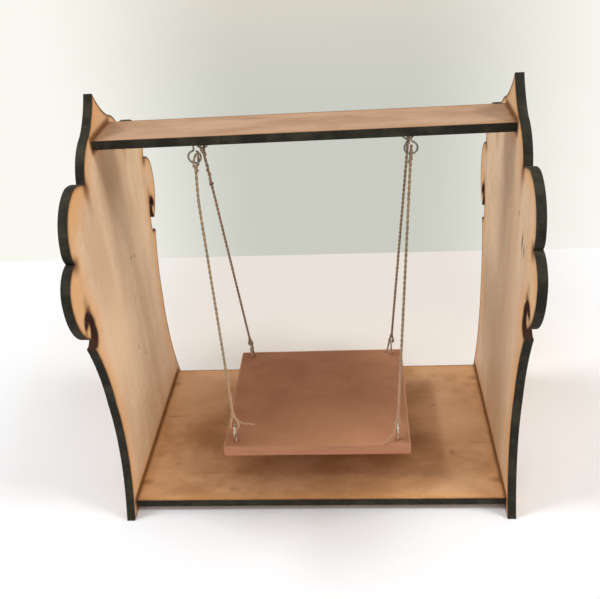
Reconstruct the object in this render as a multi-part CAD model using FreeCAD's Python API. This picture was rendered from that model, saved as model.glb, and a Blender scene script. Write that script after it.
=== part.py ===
import FreeCAD, Part
import math
import os

# Table-top jhoola: a seat board hung by four twines in a frame of slotted boards.
# Millimetres. +X is the swing's right as seen from the front, +Y its rear, +Z up.
# The origin is on the table, midway between the panels and midway front to back.

V = FreeCAD.Vector
LEFT = -1
RIGHT = 1
FRONT = -1
REAR = 1
SIDES = {"left": LEFT, "right": RIGHT}
ENDS = {"front": FRONT, "rear": REAR}

# Frame of sheet board
sheet_thickness = 5.5
clear_width = 254.0
panel_height = 273.4
panel_half_depth = 103.0
base_depth = 154.5
base_tab_width = 118.0
base_lift = 3.6
beam_depth = 38.0
beam_tab_width = 28.0
beam_below_tips = 23.9
tab_clearance = 0.15

# Seat board
seat_width = 129.0
seat_depth = 115.0
seat_thickness = 8.0
seat_above_base = 22.9

# Screw eyes. The cover is the board left beyond a screw's tip in the beam.
eye_wire = 1.2
eye_outer = 9.0
eye_neck_radius = 1.5
eye_tip_length = 1.6
eye_tip_flat = 0.3
eye_cover = 0.5
seat_eye_stand = 5.0
beam_eye_stand = 4.5
pilot_clearance = 0.05
seat_eye_from_side = 8.5
seat_eye_from_edge = 6.0
beam_eye_spacing = 132.0
beam_eye_from_edge = 5.5

# Twine and its knots. A loop clears its ring's wire, and the rear seat loops clear it by
# more, because the four twines swing on one joint's angle. The reach is from wire to knot.
twine_diameter = 1.35
beam_loop_clearance = 0.4
seat_loop_clearance = 0.4
open_pivot_clearance = 1.15
beam_knot_reach = 3.4
seat_knot_reach = 8.0
knot_lead = 2.4
tail_gap = 0.25
beam_tail = 6.0
long_beam_tail = 24.0
kink_drop = 20.0
kink_offset = 1.8

cut_overrun = 1.0

# Angles in degrees
eye_open_angle = 33.0
knot_tilt = 9.0
inward_tail_turn = 0.0
forward_tail_turn = 37.0

# The loose ends at the seat, as points out from their knot and up from it, and the angle
# that each turns from inwards to the front
seat_tails = {
    "front_left": (inward_tail_turn, [(3.0, -7.5), (15.5, -9.2)]),
    "front_right": (forward_tail_turn, [(4.0, -9.0), (12.0, -19.0)]),
    "rear_left": (inward_tail_turn, [(4.0, -0.8)]),
    "rear_right": (inward_tail_turn, [(4.0, -0.8)]),
}

# Counts
eye_sides = 10
twine_sides = 8
wrap_facets = 3

# Shares: a knot's two wraps lie this close to the twine inside them and to each other,
# in twine diameters, a wrap's section turns in this far, and an arc takes this much of a run
wrap_press_share = 0.92
wrap_spacing_share = 0.89
wrap_inner_share = 0.6
arc_run_share = 0.45

# Half of a panel's outline, from its tip down the edge to its foot. Each row is an arc:
# the point it passes through and the point it ends at. Across is a share of
# panel_half_depth, up is a share of panel_height. A row with one point is a straight cut.
tip_shares = (0.0, 1.0)
crown_shares = [
    ((0.093, 0.958), (0.209, 0.927)),
    ((0.346, 0.897), (0.423, 0.846)),
]
upper_lobe_shares = [
    ((0.510, 0.861), (0.602, 0.866)),
    ((0.783, 0.830), (0.850, 0.773)),
    ((0.850, 0.752), (0.824, 0.733)),
]
lower_lobe_shares = [
    ((0.947, 0.714), (1.000, 0.668)),
    ((0.976, 0.609), (0.845, 0.551)),
]
scroll_shares = [
    ((0.818, 0.569), (0.818, 0.591)),
    ((0.845, 0.588), (0.885, 0.586)),
    ((0.860, 0.610), (0.806, 0.613)),
    ((0.762, 0.591), (0.747, 0.560)),
    ((0.752, 0.530), (0.792, 0.519)),
    ((0.821, 0.519),),
]
leg_shares = [
    ((0.750, 0.443), (0.705, 0.329)),
    ((0.715, 0.150), (0.846, 0.0)),
]
half_outline_shares = crown_shares + upper_lobe_shares + lower_lobe_shares + scroll_shares + leg_shares

# Worked out from the sizes above
outer_face = clear_width / 2 + sheet_thickness
base_top = base_lift + sheet_thickness
beam_top = panel_height - beam_below_tips
beam_underside = beam_top - sheet_thickness
seat_underside = base_top + seat_above_base
seat_top = seat_underside + seat_thickness
eye_radius = (eye_outer - eye_wire) / 2
eye_neck_rise = math.sqrt(eye_radius**2 + 2 * eye_radius * eye_neck_radius)
eye_shank = sheet_thickness - eye_cover + beam_eye_stand + eye_outer / 2 - eye_neck_rise
twine_radius = twine_diameter / 2
twine_bar = (twine_radius, twine_sides)
wrap_radius = twine_diameter * wrap_press_share
wrap_spacing = twine_diameter * wrap_spacing_share
beam_eye_x = beam_eye_spacing / 2
beam_eye_y = beam_depth / 2 - beam_eye_from_edge
seat_eye_x = seat_width / 2 - seat_eye_from_side
seat_eye_y = seat_depth / 2 - seat_eye_from_edge
beam_ring_z = beam_underside - beam_eye_stand - eye_outer / 2
seat_ring_z = seat_top + seat_eye_stand + eye_outer / 2

X_AXIS = V(1, 0, 0)
Y_AXIS = V(0, 1, 0)
Z_AXIS = V(0, 0, 1)


def board(width, depth, thickness, underside):
    return Part.makeBox(width, depth, thickness, V(-width / 2, -depth / 2, underside))


# Side panels: one cut sheet each, scalloped towards the tip, with a comma-shaped scroll
# cut behind the lower lobe. The base board's and the beam's tabs come through slots.

def outline_point(shares, end, x):
    across, up = shares
    return V(x, end * across * panel_half_depth, up * panel_height)


def half_outline(end, x):
    edges = []
    start = outline_point(tip_shares, end, x)
    for row in half_outline_shares:
        points = [outline_point(shares, end, x) for shares in row]
        if len(points) == 1:
            edges.append(Part.LineSegment(start, points[0]).toShape())
        else:
            edges.append(Part.Arc(start, points[0], points[1]).toShape())
        start = points[-1]
    return edges, start


def tab_slot(width, underside, side):
    slot = Part.makeBox(
        sheet_thickness + 2 * cut_overrun,
        width + 2 * tab_clearance,
        sheet_thickness + 2 * tab_clearance,
        V(clear_width / 2 - cut_overrun, -width / 2 - tab_clearance, underside - tab_clearance),
    )
    return slot if side == RIGHT else slot.mirror(V(0, 0, 0), X_AXIS)


def side_panel(side):
    inner_face = side * clear_width / 2
    front_edges, front_foot = half_outline(FRONT, inner_face)
    rear_edges, rear_foot = half_outline(REAR, inner_face)
    foot = Part.LineSegment(front_foot, rear_foot).toShape()
    outline = Part.Wire(Part.__sortEdges__(front_edges + [foot] + rear_edges))
    panel = Part.Face(outline).extrude(X_AXIS * side * sheet_thickness)
    panel = panel.cut(tab_slot(base_tab_width, base_lift, side))
    return panel.cut(tab_slot(beam_tab_width, beam_underside, side))


# Base board and top beam: plain boards between the panels, shouldered against their
# inner faces, with one tab at each end that finishes flush with the outer face.

def tabbed_board(depth, tab_width, underside):
    between = board(clear_width, depth, sheet_thickness, underside)
    tabs = board(2 * outer_face, tab_width, sheet_thickness, underside)
    return between.fuse(tabs).removeSplitter()


# Bars: straight and bent lengths of one wire or twine, joined face to face. A bar is a
# radius and a number of sides, and its flats line up with the normal of its route's plane.

def section(bar, centre, heading, normal):
    radius, sides = bar
    up = V(normal).normalize() * radius
    over = heading.cross(normal).normalize() * radius
    turns = [math.pi * (2 * side + 1) / sides for side in range(sides)]
    corners = [centre + up * math.cos(turn) + over * math.sin(turn) for turn in turns]
    return Part.Face(Part.makePolygon(corners + corners[:1]))


def straight(bar, start, finish, normal):
    return section(bar, start, finish - start, normal).extrude(finish - start)


def bend(bar, start, heading, centre, angle):
    axis = (start - centre).cross(heading)
    return section(bar, start, heading, axis).revolve(centre, axis, angle)


def rounded_bar(bar, points, normal):
    pieces = []
    bend_radii = []
    length = 0
    start = points[0]
    for before, corner, after in zip(points, points[1:], points[2:]):
        back = before - corner
        ahead = after - corner
        turn = math.pi - back.getAngle(ahead)
        trim = arc_run_share * min(back.Length, ahead.Length)
        bend_radius = trim / math.tan(turn / 2)
        back.normalize()
        ahead.normalize()
        entry = corner + back * trim
        centre = corner + (back + ahead).normalize() * bend_radius / math.cos(turn / 2)
        pieces.append(straight(bar, start, entry, normal))
        pieces.append(bend(bar, entry, -back, centre, math.degrees(turn)))
        length += (entry - start).Length + bend_radius * turn
        bend_radii.append(bend_radius)
        start = corner + ahead * trim
    pieces.append(straight(bar, start, points[-1], normal))
    length += (points[-1] - start).Length
    return pieces, length, bend_radii


def route_normal(points, across):
    # A straight route lies in many planes, and this takes the one that holds across
    first_run = points[1] - points[0]
    last_run = points[-1] - points[-2] if len(points) > 2 else across
    return first_run.cross(last_run)


def joined(pieces):
    return pieces[0].fuse(pieces[1:]).removeSplitter() if len(pieces) > 1 else pieces[0]


# Screw eyes: one steel wire, a pointed shank that leans over into an open-ended ring.
# The ring is made in its own XZ plane, with the board's surface at zero height.

def eye_heights(stand):
    ring_height = stand + eye_outer / 2
    neck_start = ring_height - eye_neck_rise
    return ring_height, neck_start, neck_start - eye_shank


def screw_eye(stand):
    ring_height, neck_start, tip = eye_heights(stand)
    lean = math.atan2(eye_neck_rise, eye_neck_radius)
    wire = (eye_wire / 2, eye_sides)
    ring_centre = V(0, 0, ring_height)
    to_join = V(math.cos(lean), 0, -math.sin(lean))
    ring_heading = V(math.sin(lean), 0, math.cos(lean))
    ring_turn = 270 - eye_open_angle + math.degrees(lean)
    shank_start = V(0, 0, tip + eye_tip_length)
    return joined([
        Part.makeLoft([
            section((eye_tip_flat / 2, eye_sides), V(0, 0, tip), Z_AXIS, Y_AXIS).OuterWire,
            section(wire, shank_start, Z_AXIS, Y_AXIS).OuterWire,
        ], True, True),
        straight(wire, shank_start, V(0, 0, neck_start), Y_AXIS),
        bend(wire, V(0, 0, neck_start), Z_AXIS, V(eye_neck_radius, 0, neck_start), math.degrees(lean)),
        bend(wire, ring_centre + to_join * eye_radius, ring_heading, ring_centre, ring_turn),
    ])


def pilot_hole(stand):
    depth = pilot_clearance - eye_heights(stand)[2]
    return Part.makeCylinder(eye_wire / 2 + pilot_clearance, depth + cut_overrun, V(0, 0, -depth))


def at_seat(shape, side, end):
    placed = shape.copy()
    placed.rotate(V(0, 0, 0), Z_AXIS, end * 90)
    placed.translate(V(side * seat_eye_x, end * seat_eye_y, seat_top))
    return placed


def at_beam(shape, side, end):
    # Each neck leans outwards, so the ring's open end is on the inner side
    placed = shape.copy()
    placed.rotate(V(0, 0, 0), Y_AXIS if side == LEFT else X_AXIS, 180)
    placed.translate(V(side * beam_eye_x, end * beam_eye_y, beam_underside))
    return placed


# Twines: each is tied through its beam eye and its seat eye. A loop goes round the
# ring's wire, and its two strands meet in a knot of two wraps. The loose end lies beside
# the twine under the beam, a long one at the rear left, and hangs from the knot at the seat.

def beam_hold(side, end):
    return V(side * beam_eye_x, end * beam_eye_y, beam_ring_z - eye_radius)


def seat_hold(side, end):
    # A loop under load slides along its ring to where the ring faces the beam eye
    ring = V(side * seat_eye_x, end * seat_eye_y, seat_ring_z)
    pull = beam_hold(side, end) - ring
    pull.x = 0
    return ring + pull.normalize() * eye_radius


def toward(start, finish):
    return (finish - start).normalize()


def twine_route(side, end):
    top = beam_hold(side, end)
    bottom = seat_hold(side, end)
    if (side, end) != (LEFT, FRONT):
        return [top, bottom]
    kink = top + toward(top, bottom) * kink_drop + X_AXIS * side * kink_offset
    return [top, kink, bottom]


def knot_end(reach):
    return reach + wrap_spacing + knot_lead


def twine(route):
    points = list(route)
    points[0] = route[0] + toward(route[0], route[1]) * knot_end(beam_knot_reach)
    points[-1] = route[-1] + toward(route[-1], route[-2]) * knot_end(seat_knot_reach)
    pieces, length, bend_radii = rounded_bar(twine_bar, points, route_normal(points, X_AXIS))
    return joined(pieces), length, bend_radii


def loop(clearance, reach):
    # The ring's wire is at the origin along X, and the twine leaves along Z
    radius = eye_wire / 2 + clearance + twine_radius
    touch = math.atan2(reach, twine_radius) - math.acos(radius / math.hypot(twine_radius, reach))
    near = V(0, twine_radius, reach)
    near_touch = V(0, radius * math.cos(touch), radius * math.sin(touch))
    far = V(0, -near.y, near.z)
    far_touch = V(0, -near_touch.y, near_touch.z)
    return [
        straight(twine_bar, near, near_touch, X_AXIS),
        bend(twine_bar, near_touch, near_touch - near, V(0, 0, 0), 180 + 2 * math.degrees(touch)),
        straight(twine_bar, far_touch, far, X_AXIS),
    ]


def wraps(reach):
    valley = math.asin(wrap_spacing / 2 / twine_radius)
    inner = math.pi - math.acos(wrap_inner_share)
    swing = inner + valley
    turns = [swing * step / wrap_facets - inner for step in range(wrap_facets + 1)]
    bulge = [V(wrap_radius + twine_radius * math.cos(turn), 0, twine_radius * math.sin(turn)) for turn in turns]
    lower = [V(point.x, 0, reach + point.z) for point in bulge]
    upper = [V(point.x, 0, reach + wrap_spacing - point.z) for point in reversed(bulge)]
    outline = [V(0, 0, lower[0].z)] + lower + upper[1:] + [V(0, 0, upper[-1].z), V(0, 0, lower[0].z)]
    body = Part.Face(Part.makePolygon(outline)).revolve(V(0, 0, 0), Z_AXIS, 360)
    body.rotate(V(0, 0, reach + wrap_spacing / 2), X_AXIS, knot_tilt)
    return body


def knot_middle(hold, along, reach):
    return hold + along * (reach + wrap_spacing / 2)


def beam_tail_route(hold, along, side, length):
    inward = X_AXIS * -side
    beside = (inward - along * inward.dot(along)).normalize() * (twine_diameter + tail_gap)
    start = knot_middle(hold, along, beam_knot_reach) + beside
    return [start, start + along * length]


def seat_tail_route(hold, along, side, turn, runs):
    middle = knot_middle(hold, along, seat_knot_reach)
    turn = math.radians(turn)
    heading = X_AXIS * -side * math.cos(turn) - Y_AXIS * math.sin(turn)
    return [middle] + [middle + heading * out + Z_AXIS * up for out, up in runs]


def knot(hold, along, wire_axis, clearance, reach, tail_route):
    lead = straight(twine_bar, V(0, 0, reach), V(0, 0, knot_end(reach)), X_AXIS)
    shape = wraps(reach).fuse([lead] + loop(clearance, reach))
    across = along.cross(wire_axis).normalize()
    wire_direction = across.cross(along)
    frame = FreeCAD.Matrix()
    frame.A11, frame.A21, frame.A31 = wire_direction
    frame.A12, frame.A22, frame.A32 = across
    frame.A13, frame.A23, frame.A33 = along
    placement = FreeCAD.Placement(frame)
    placement.Base = hold
    shape.Placement = placement
    tail, length, bend_radii = rounded_bar(twine_bar, tail_route, route_normal(tail_route, Y_AXIS))
    return shape.fuse(tail).removeSplitter(), bend_radii


def each_corner():
    for end_name, end in ENDS.items():
        for side_name, side in SIDES.items():
            yield f"{end_name}_{side_name}", side, end


# Build every piece
parts = {
    "side_panel_left": side_panel(LEFT),
    "side_panel_right": side_panel(RIGHT),
    "base_board": tabbed_board(base_depth, base_tab_width, base_lift),
    "top_beam": tabbed_board(beam_depth, beam_tab_width, beam_underside),
    "seat_board": board(seat_width, seat_depth, seat_thickness, seat_underside),
}
for corner, side, end in each_corner():
    parts["top_beam"] = parts["top_beam"].cut(at_beam(pilot_hole(beam_eye_stand), side, end))
    parts["seat_board"] = parts["seat_board"].cut(at_seat(pilot_hole(seat_eye_stand), side, end))
    parts[f"beam_eye_{corner}"] = at_beam(screw_eye(beam_eye_stand), side, end)
    parts[f"seat_eye_{corner}"] = at_seat(screw_eye(seat_eye_stand), side, end)

for corner, side, end in each_corner():
    route = twine_route(side, end)
    solid, length, radii = twine(route)
    parts[f"twine_{corner}"] = solid
    area = section(twine_bar, V(0, 0, 0), Z_AXIS, X_AXIS).Area
    print(f"twine_{corner} route", [tuple(round(value, 2) for value in point) for point in route])
    print(f"  length {length:.1f}, radii {radii}, volume over section times length", solid.Volume / area / length)
    downward = toward(route[0], route[1])
    tail = long_beam_tail if (side, end) == (LEFT, REAR) else beam_tail
    parts[f"upper_knot_{corner}"], upper_radii = knot(
        route[0], downward, X_AXIS, beam_loop_clearance, beam_knot_reach,
        beam_tail_route(route[0], downward, side, tail),
    )
    upward = toward(route[-1], route[-2])
    clearance = seat_loop_clearance if end == FRONT else open_pivot_clearance
    parts[f"lower_knot_{corner}"], lower_radii = knot(
        route[-1], upward, Y_AXIS, clearance, seat_knot_reach,
        seat_tail_route(route[-1], upward, side, *seat_tails[corner]),
    )
    print("  tail radii", upper_radii, lower_radii)

os.makedirs("parts", exist_ok=True)
for name, shape in parts.items():
    solids = shape.Solids
    if len(solids) != 1 or not shape.isValid():
        raise ValueError(f"{name}: {len(solids)} solids, valid {shape.isValid()}")
    solids[0].exportStep(f"parts/{name}.step")
    print(name, "volume", round(shape.Volume, 1))
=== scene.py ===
import math
import random

import bpy
from mathutils import Matrix, Vector


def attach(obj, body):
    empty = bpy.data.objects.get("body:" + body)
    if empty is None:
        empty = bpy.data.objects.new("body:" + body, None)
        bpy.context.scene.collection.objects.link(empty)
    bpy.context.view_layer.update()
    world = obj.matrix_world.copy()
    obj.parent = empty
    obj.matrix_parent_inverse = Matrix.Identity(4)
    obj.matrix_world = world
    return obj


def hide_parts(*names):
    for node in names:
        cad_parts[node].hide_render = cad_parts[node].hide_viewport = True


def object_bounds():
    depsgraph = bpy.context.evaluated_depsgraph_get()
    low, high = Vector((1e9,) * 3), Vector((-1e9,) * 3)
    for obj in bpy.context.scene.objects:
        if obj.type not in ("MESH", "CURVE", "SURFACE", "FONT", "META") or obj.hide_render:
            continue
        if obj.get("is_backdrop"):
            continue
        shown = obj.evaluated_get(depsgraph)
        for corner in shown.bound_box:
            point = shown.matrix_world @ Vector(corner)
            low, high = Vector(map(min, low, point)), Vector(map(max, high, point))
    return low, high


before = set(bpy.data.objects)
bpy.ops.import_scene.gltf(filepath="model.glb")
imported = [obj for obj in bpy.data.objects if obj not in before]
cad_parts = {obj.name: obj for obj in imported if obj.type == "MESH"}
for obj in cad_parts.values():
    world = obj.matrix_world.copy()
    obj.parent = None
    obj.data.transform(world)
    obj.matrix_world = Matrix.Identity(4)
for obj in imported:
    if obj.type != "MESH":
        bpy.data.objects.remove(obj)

cad_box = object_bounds()

# Side panels. Two scalloped sheets of 5.5 mm fibreboard with a pale, faintly streaked face.
# A laser cut them: the edges are charred, the faces are toasted honey beside the cut, and the
# smoke has marked them where the beam turned and where the base and the beam are let in.

MM = 0.001
ACROSS, UPWARD = 0, 2
# A surface that faces an axis more squarely than the first is a face, less than the second an edge
SQUARE_ON, TURNED_AWAY = 0.92, 0.80
# A mark fades out this far from its middle, in shares of its half width and half height
MARK_END = 1.2


def paint(red, green, blue):
    """A colour as it looks on screen, from 0 to 255, turned into plain light."""
    shares = [tone / 255 for tone in (red, green, blue)]
    return (*[((share + 0.055) / 1.055) ** 2.4 for share in shares], 1.0)


class Finish:
    """One finish, mixed step by step. Every step adds a node and hands back what it gives."""

    def __init__(self, name, holder=None):
        self.material = holder or bpy.data.materials.new(name)
        self.material.use_nodes = True
        self.tree = self.material.node_tree
        self.tree.nodes.clear()

    def step(self, kind, gives, takes, **settings):
        node = self.tree.nodes.new(kind)
        for setting, value in settings.items():
            setattr(node, setting, value)
        for socket, value in takes.items():
            if isinstance(value, bpy.types.NodeSocket):
                self.tree.links.new(value, node.inputs[socket])
            else:
                node.inputs[socket].default_value = value
        return node.outputs[gives]

    def sum(self, operation, first, second=0.0, third=0.0):
        return self.step("ShaderNodeMath", 0, {0: first, 1: second, 2: third}, operation=operation)

    def size(self, value):
        return self.sum("ABSOLUTE", value)

    def arrow(self, operation, first, second=(0.0, 0.0, 0.0), gives="Vector"):
        return self.step("ShaderNodeVectorMath", gives, {0: first, 1: second}, operation=operation)

    def length_to(self, place, point):
        return self.arrow("DISTANCE", place, point, "Value")

    def fade(self, value, full, none):
        """1 where the value is at full, 0 where it is at none, and smooth between."""
        takes = {"Value": value, "From Min": none, "From Max": full}
        return self.step("ShaderNodeMapRange", 0, takes, interpolation_type="SMOOTHSTEP")

    def blend(self, share, first, second):
        return self.step("ShaderNodeMix", 2, {0: share, 6: first, 7: second}, data_type="RGBA")

    def between(self, share, first, second):
        return self.step("ShaderNodeMix", 0, {0: share, 2: first, 3: second}, data_type="FLOAT")

    def touched(self, tone, *layers):
        """The tone with others laid over it: each one's value at full and at none, share and tone."""
        for value, full, none, share, layer_tone in layers:
            where = self.sum("MULTIPLY", self.fade(value, full, none), share)
            tone = self.blend(where, tone, layer_tone)
        return tone

    def shaded(self, tone, spread, shades):
        """The tone with soft round patches of others: middle, reach, share and tone of each."""
        for x, y, reach, share, shade_tone in shades:
            away = self.length_to(spread, (x, y, 0.0))
            tone = self.touched(tone, (away, 0.0, reach, share, shade_tone))
        return tone

    def marked(self, tone, spread, marks, uneven, solid, colour):
        """The tone with small oval marks: middle, half width, half height and darkness of each."""
        for x, y, half_width, half_height, darkness in marks:
            away = self.arrow("SUBTRACT", spread, (x, y, 0.0))
            away = self.arrow("DIVIDE", away, (half_width, half_height, 1.0))
            away = self.sum("ADD", self.arrow("LENGTH", away, gives="Value"), uneven)
            tone = self.touched(tone, (away, solid, MARK_END, darkness, colour))
        return tone

    def place(self):
        """Where the surface's point is, in millimetres from the middle of the swing's foot."""
        metres = self.step("ShaderNodeTexCoord", "Object", {})
        return self.arrow("MULTIPLY", metres, (1 / MM, 1 / MM, 1 / MM))

    def parts(self, vector):
        return [self.step("ShaderNodeSeparateXYZ", axis, {0: vector}) for axis in range(3)]

    def point(self, x, y, z):
        return self.step("ShaderNodeCombineXYZ", 0, {0: x, 1: y, 2: z})

    def cloud(self, place, grain, detail, roughness, shift=0.0):
        """Uneven tone from 0 to 1, in patches of that many millimetres across, deep and high."""
        sizes = grain if isinstance(grain, tuple) else (grain, grain, grain)
        scaled = self.arrow("MULTIPLY", place, tuple(1 / size for size in sizes))
        moved = self.arrow("ADD", scaled, (shift, shift, shift))
        takes = {"Vector": moved, "Scale": 1.0, "Detail": detail, "Roughness": roughness}
        return self.step("ShaderNodeTexNoise", 0, takes)

    def on_face(self, axis):
        """1 on the faces that look along that axis, 0 on the edges between them."""
        normal = self.step("ShaderNodeNewGeometry", "True Normal", {})
        facing = self.size(self.parts(normal)[axis])
        return self.fade(facing, SQUARE_ON, TURNED_AWAY)

    def bump(self, height, depth, strength):
        takes = {"Height": height, "Distance": depth * MM, "Strength": strength}
        return self.step("ShaderNodeBump", 0, takes)

    def surface(self, **takes):
        named = {socket.replace("_", " "): value for socket, value in takes.items()}
        shader = self.step("ShaderNodeBsdfPrincipled", 0, named)
        self.step_out(shader)
        return self.material

    def step_out(self, shader, kind="Material"):
        out = self.tree.nodes.new(f"ShaderNodeOutput{kind}")
        self.tree.links.new(shader, out.inputs["Surface"])


RIDGE_WIDTH, RIDGE_LENGTH = 0.32, 9.0


def charred(finish, place, through):
    """A laser-cut edge: charcoal, with the fine ridges that the beam leaves through the board."""
    ridge = tuple(RIDGE_LENGTH if axis == through else RIDGE_WIDTH for axis in range(3))
    ridges = finish.cloud(place, ridge, 2.0, 0.5)
    ash = finish.fade(finish.cloud(place, 0.5, 2.0, 0.6, 7.0), 0.72, 0.58)
    scorch = finish.cloud(place, 14.0, 3.0, 0.6, 3.0)
    tone = finish.blend(finish.fade(scorch, 0.66, 0.38), paint(38, 36, 28), paint(62, 60, 48))
    tone = finish.touched(tone, (ridges, 0.65, 0.35, 0.4, paint(26, 22, 16)))
    tone = finish.blend(finish.sum("MULTIPLY", ash, 0.3), tone, paint(104, 96, 78))
    return tone, finish.sum("MULTIPLY_ADD", ash, 0.4, ridges)


def board_surface(finish, face, tones, heights, dull, shine):
    """A board whose faces and charred edges each have their own tone, height and dullness."""
    return finish.surface(
        Base_Color=finish.blend(face, tones[1], tones[0]),
        Roughness=finish.between(face, 0.86, dull),
        Normal=finish.bump(finish.between(face, heights[1], heights[0]), 0.09, 0.7),
        Specular_IOR_Level=shine,
    )


def dress(board, material, rim):
    """Gives a board its finish, and takes the sharpness off its rims with a small bevel."""
    board.data.materials.clear()
    board.data.materials.append(material)
    weld = board.modifiers.new("joined_corners", "WELD")
    weld.merge_threshold = 0.01 * MM
    bevel = board.modifiers.new("eased_rims", "BEVEL")
    bevel.width = rim * MM
    bevel.segments = 2
    bevel.limit_method = "ANGLE"
    bevel.angle_limit = math.radians(35)


LASER_RIM = 0.18
PANEL_HALF_DEPTH, PANEL_HEIGHT = 103.0, 273.4
PANEL_INSIDE, PANEL_OUTSIDE = 127.0, 132.5
# Each arc of half the outline from the tip down, as the point it passes and the point it ends at,
# in shares of the half depth and the height
PANEL_ARCS = [
    ((0.093, 0.958), (0.209, 0.927)), ((0.346, 0.897), (0.423, 0.846)),
    ((0.510, 0.861), (0.602, 0.866)), ((0.783, 0.830), (0.850, 0.773)),
    ((0.850, 0.752), (0.824, 0.733)), ((0.947, 0.714), (1.000, 0.668)),
    ((0.976, 0.609), (0.845, 0.551)), ((0.818, 0.569), (0.818, 0.591)),
    ((0.845, 0.588), (0.885, 0.586)), ((0.860, 0.610), (0.806, 0.613)),
    ((0.762, 0.591), (0.747, 0.560)), ((0.752, 0.530), (0.792, 0.519)),
    ((0.807, 0.519), (0.821, 0.519)), ((0.750, 0.443), (0.705, 0.329)),
    ((0.715, 0.150), (0.846, 0.0)),
]
SLIT_MIDDLE, SLIT_REACH = (82.0, 154.0, 0.0), (11.0, 15.0)
# The boards let into the panels: half depths of the slot and of the board, and the middle's height
HALF_SHEET, BASE_HALF_DEPTH, BEAM_HALF_DEPTH = 2.75, 77.25, 19.0
LET_IN = [(59.15, BASE_HALF_DEPTH, 6.35), (14.15, BEAM_HALF_DEPTH, 246.75)]
# Smoke where the beam turned or slowed: depth, height, reach and darkness
SMOKE = [
    (43.5, 229.0, 9.0, 0.85), (42.8, 222.0, 7.5, 0.3), (42.2, 215.0, 7.0, 0.14),
    (84.5, 199.0, 8.5, 0.8), (82.5, 167.5, 7.5, 0.95), (83.0, 174.5, 6.0, 0.35),
    (77.0, 158.0, 4.5, 0.6), (79.5, 144.0, 6.0, 0.6), (88.5, 163.0, 5.0, 0.6),
    (91.5, 158.0, 4.0, 0.45),
]
# Pale is painted light, brown is painted shade under the beam and browner board lower down, and honey
# is the heat's toasting
PAINTED_LIGHT_FACE, BROWN_AND_SHADED_FACE, HONEY_FACE = paint(240, 208, 174), paint(174, 134, 94), paint(214, 156, 92)
# Patches on each face: depth, height, reach, share and tone. Honey where the heat toasted it, paler
# where light is painted on, painted shade under the beam on both panels, and browner patches lower down
PANEL_TONES_LIGHT_AND_SHADE = {
    "left": [
        (-46.0, 118.0, 62.0, 0.65, PAINTED_LIGHT_FACE), (26.0, 150.0, 46.0, 0.35, PAINTED_LIGHT_FACE),
        (4.0, 216.0, 36.0, 0.62, BROWN_AND_SHADED_FACE), (-17.0, 26.0, 44.0, 0.32, BROWN_AND_SHADED_FACE),
        (-88.0, 184.0, 25.0, 0.6, HONEY_FACE), (-70.0, 226.0, 24.0, 0.6, HONEY_FACE),
        (-4.0, 264.0, 20.0, 0.5, HONEY_FACE),
    ],
    "right": [
        (46.0, 96.0, 60.0, 0.6, BROWN_AND_SHADED_FACE), (4.0, 150.0, 34.0, 0.3, PAINTED_LIGHT_FACE),
        (2.0, 212.0, 30.0, 0.2, BROWN_AND_SHADED_FACE), (-84.0, 190.0, 26.0, 0.35, HONEY_FACE),
    ],
}
# Handling marks on each panel: depth, height, half width, half height and darkness
PANEL_MARKS = {
    "left": [
        (12.5, 153.4, 2.2, 1.2, 0.8), (21.0, 150.5, 2.0, 1.4, 0.75), (-8.2, 91.9, 1.6, 2.6, 0.5),
        (24.1, 96.3, 1.4, 1.8, 0.35), (4.5, 78.7, 2.4, 2.8, 0.4), (57.0, 212.0, 0.7, 13.0, 0.5),
        (63.0, 214.0, 0.6, 8.0, 0.4), (50.0, 200.0, 0.6, 10.0, 0.25),
    ],
    "right": [
        (-57.2, 191.5, 2.3, 8.0, 0.95), (-63.0, 188.0, 2.0, 5.5, 0.85), (-43.0, 203.0, 1.8, 2.6, 0.6),
        (50.0, 179.2, 2.6, 12.0, 0.3), (62.6, 186.0, 1.6, 7.0, 0.35), (-12.0, 118.0, 1.4, 2.2, 0.25),
    ],
}


def circle_through(start, passed, end):
    """Middle and radius of the circle through three points, or None where they lie in a line."""
    (ax, ay), (bx, by), (cx, cy) = start, passed, end
    twice = 2 * (ax * (by - cy) + bx * (cy - ay) + cx * (ay - by))
    if abs(twice) < 1e-6:
        return None
    a, b, c = ax * ax + ay * ay, bx * bx + by * by, cx * cx + cy * cy
    middle = (
        (a * (by - cy) + b * (cy - ay) + c * (ay - by)) / twice,
        (a * (cx - bx) + b * (ax - cx) + c * (bx - ax)) / twice,
    )
    return Vector(middle), (Vector(start) - Vector(middle)).length


# Past the ends of an arc its distance grows so fast that another one is always nearer
PAST_THE_END = 1000.0


def from_the_cut(finish, at, height):
    """How many millimetres a point of a panel's face is from the cut outline."""
    nearest = height
    start = (0.0, PANEL_HEIGHT)
    for row in PANEL_ARCS:
        passed, end = [(across * PANEL_HALF_DEPTH, up * PANEL_HEIGHT) for across, up in row]
        circle = circle_through(start, passed, end)
        if circle:
            middle, radius = circle
            off_circle = finish.sum("SUBTRACT", finish.length_to(at, (*middle, 0.0)), radius)
            off_circle = finish.size(off_circle)
            for first, second in ((start, passed), (passed, end)):
                gap = off_circle
                for near, far in ((first, second), (second, first)):
                    ray = (Vector(near) - middle).normalized()
                    side = Vector((-ray.y, ray.x))
                    if side.dot(Vector(far) - middle) < 0:
                        side = -side
                    beyond = finish.arrow("DOT_PRODUCT", at, (*side, 0.0), "Value")
                    beyond = finish.sum("SUBTRACT", side.dot(middle), beyond)
                    beyond = finish.sum("MULTIPLY", beyond, PAST_THE_END)
                    gap = finish.sum("MAXIMUM", gap, beyond)
                nearest = finish.sum("MINIMUM", nearest, gap)
        nearest = finish.sum("MINIMUM", nearest, finish.length_to(at, (*end, 0.0)))
        start = end
    return nearest


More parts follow.
